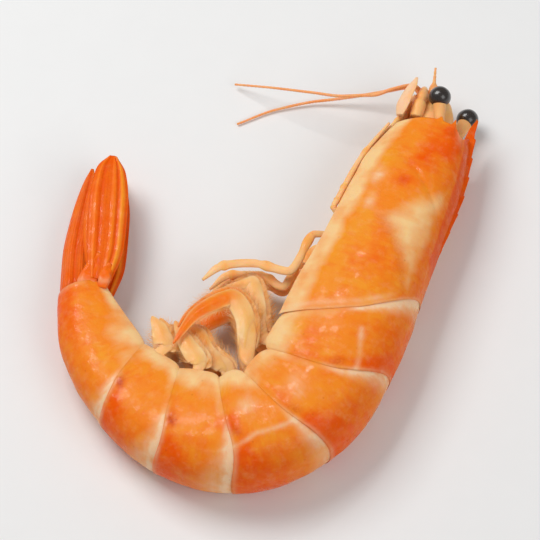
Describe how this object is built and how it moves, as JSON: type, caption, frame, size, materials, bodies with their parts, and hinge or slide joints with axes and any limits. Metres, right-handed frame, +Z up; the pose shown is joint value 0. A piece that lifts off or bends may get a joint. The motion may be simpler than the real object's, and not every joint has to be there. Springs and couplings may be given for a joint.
{
  "type": "cooked whole prawn",
  "caption": "Whole cooked orange prawn with head, eyes, legs and tail fan, curled up and lying on its right side.",
  "frame": {"origin": "middle of the bounding box in the level, at the surface that the prawn lies on", "axes": "+Z up, out of the prawn's left side; +Y roughly towards the head's and the tail's ends of its U; +X towards the head's side of the U"},
  "size_m": [0.079, 0.0886, 0.0175],
  "materials": {
    "shell": "wet glossy cooked prawn shell, orange with pale joints",
    "fan_shell": "wet glossy ridged shell, deep orange",
    "pale_shell": "wet pale orange and cream shell",
    "leg_shell": "thin pale yellow-cream shell, satin",
    "eye_black": "shiny black"
  },
  "bodies": {
    "root": {"carapace": "shell", "ring_1": "shell", "ring_2": "shell", "ring_3": "shell", "ring_4": "shell", "ring_5": "shell", "ring_6": "shell", "telson": "fan_shell", "fan_inner_left": "fan_shell", "fan_inner_right": "fan_shell", "fan_outer_left": "fan_shell", "fan_outer_right": "fan_shell", "eye_left": "eye_black", "eye_right": "eye_black", "eyestalk_left": "pale_shell", "eyestalk_right": "pale_shell", "head_front": "pale_shell", "scale_left": "pale_shell", "scale_right": "pale_shell", "short_feeler_left": "leg_shell", "short_feeler_right": "leg_shell", "long_feeler_left": "leg_shell", "long_feeler_right": "leg_shell", "mouth_leg_left": "leg_shell", "mouth_leg_right": "leg_shell", "leg_1_left": "leg_shell", "leg_1_right": "leg_shell", "leg_2_left": "leg_shell", "leg_2_right": "leg_shell", "leg_3_left": "leg_shell", "leg_3_right": "leg_shell", "leg_4_left": "leg_shell", "leg_4_right": "leg_shell", "leg_5_left": "leg_shell", "leg_5_right": "leg_shell", "swimmeret_1_left": "pale_shell", "swimmeret_1_right": "pale_shell", "swimmeret_2_left": "pale_shell", "swimmeret_2_right": "pale_shell", "swimmeret_3_left": "pale_shell", "swimmeret_3_right": "pale_shell", "swimmeret_4_left": "pale_shell", "swimmeret_4_right": "pale_shell", "swimmeret_5_left": "pale_shell", "swimmeret_5_right": "pale_shell"}
  },
  "joints": []
}
